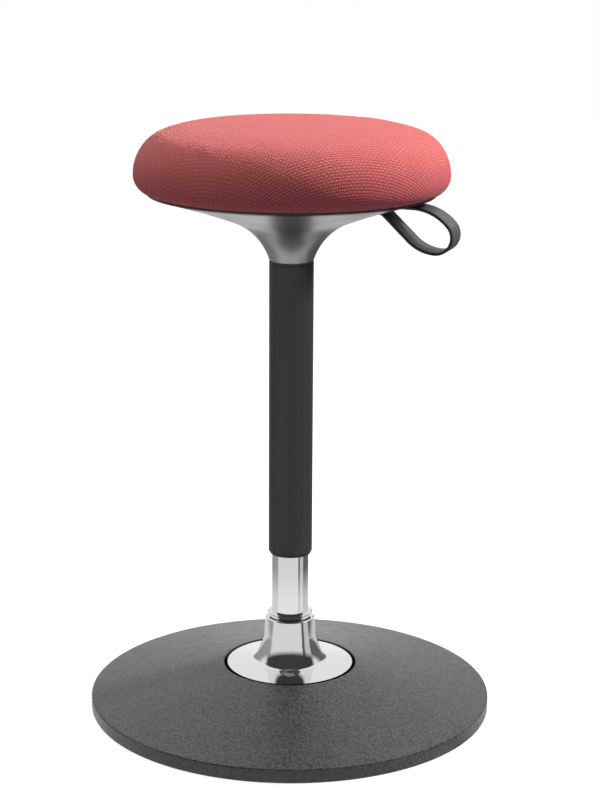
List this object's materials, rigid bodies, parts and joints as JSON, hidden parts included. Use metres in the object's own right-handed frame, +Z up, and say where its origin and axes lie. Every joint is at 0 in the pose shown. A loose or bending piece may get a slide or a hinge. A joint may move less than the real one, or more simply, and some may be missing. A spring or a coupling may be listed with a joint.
{
  "type": "wobble stool",
  "caption": "Height-adjustable wobble stool: round fabric seat on a column that tilts in a heavy round base, with a pull loop for the gas spring.",
  "frame": {"origin": "on the floor under the middle of the base", "axes": "+Z up along the column at rest, +X to the right and +Y away from the picture's camera; the pull loop points 20 degrees from +X towards -Y"},
  "size_m": [0.4634, 0.4634, 0.6761],
  "materials": {
    "base_paint": "fine dark grey powder coat",
    "floor_rubber": "matt",
    "cover_sheet": "black coated sheet",
    "zinc_screws": "zinc plated",
    "joint_steel": "machined steel",
    "liner_plastic": "natural acetal",
    "buffer_rubber": "matt black",
    "chrome": "polished",
    "rod_chrome": "ground and chromed",
    "black_tube": "satin black powder coat",
    "black_plastic": "black",
    "valve_steel": "steel",
    "bracket_steel": "black coated steel",
    "funnel_grey": "satin silver grey paint",
    "board_wood": "beech plywood",
    "foam": "moulded foam",
    "cover_fabric": "coral ribbed weave",
    "strap_grey": "dark grey ribbed strap"
  },
  "bodies": {
    "base": {"base_plate": "base_paint", "floor_ring": "floor_rubber", "bottom_cover": "cover_sheet", "cover_screws": "zinc_screws", "joint_cup": "joint_steel", "cup_screws": "zinc_screws", "cup_ring": "joint_steel", "buffer_ring": "buffer_rubber"},
    "liner": {"socket_liner": "liner_plastic"},
    "column": {"tilt_hub": "joint_steel", "inner_tube": "chrome", "rod_plate": "joint_steel", "cylinder_guide": "liner_plastic", "tube_glide": "liner_plastic", "bell_cover": "chrome", "collar_gasket": "buffer_rubber", "collar_ring": "chrome", "lower_washer": "joint_steel", "bearing_cage": "liner_plastic", "bearing_balls": "joint_steel"},
    "rod": {"piston_rod": "rod_chrome", "upper_washer": "joint_steel", "rod_clip": "joint_steel", "bump_stop": "buffer_rubber", "piston": "joint_steel", "piston_seal": "buffer_rubber"},
    "seat": {"outer_tube": "black_tube", "tube_bush": "black_plastic", "gas_cylinder": "black_tube", "rod_guide": "black_plastic", "seat_bracket": "bracket_steel", "funnel": "funnel_grey", "seat_pan": "black_plastic", "bracket_bolts": "zinc_screws", "board_nuts": "zinc_screws", "pan_screws": "zinc_screws", "seat_board": "board_wood", "seat_foam": "foam", "seat_cover": "cover_fabric", "hem_cord": "cover_fabric", "pivot_pin": "rod_chrome"},
    "lever": {"release_lever": "bracket_steel", "pull_loop": "strap_grey", "loop_plate": "bracket_steel", "loop_rivets": "zinc_screws"},
    "valve": {"valve_pin": "valve_steel"}
  },
  "joints": [
    {"name": "tilt_side", "type": "hinge", "parent": "base", "child": "liner", "pos_m": [0, 0, 0.046], "axis": [1, 0, 0], "range_deg": [-6, 6], "stiffness_Nm_per_rad": 500, "deforming": ["buffer_ring"]},
    {"name": "tilt_fore", "type": "hinge", "parent": "liner", "child": "column", "pos_m": [0, 0, 0.046], "axis": [0, 1, 0], "range_deg": [-6, 6], "stiffness_Nm_per_rad": 500, "deforming": ["buffer_ring"]},
    {"name": "seat_swivel", "type": "hinge", "parent": "column", "child": "rod", "pos_m": [0, 0, 0.104], "axis": [0, 0, 1], "continuous": true},
    {"name": "seat_height", "type": "slide", "parent": "rod", "child": "seat", "axis": [0, 0, 1], "range_m": [-0.065, 0.115]},
    {"name": "lever_pull", "type": "hinge", "parent": "seat", "child": "lever", "pos_m": [-0.02255, 0.00821, 0.59], "axis": [0.342, 0.9397, 0], "range_deg": [0, 4.5], "stiffness_Nm_per_rad": 60, "springref_deg": -2.86},
    {"name": "valve_press", "type": "slide", "parent": "seat", "child": "valve", "axis": [0, 0, -1], "range_m": [0, 0.0019]}
  ],
  "couplings": [
    {"joint": "valve_press", "follows": "lever_pull", "m_per_rad": 0.024}
  ]
}
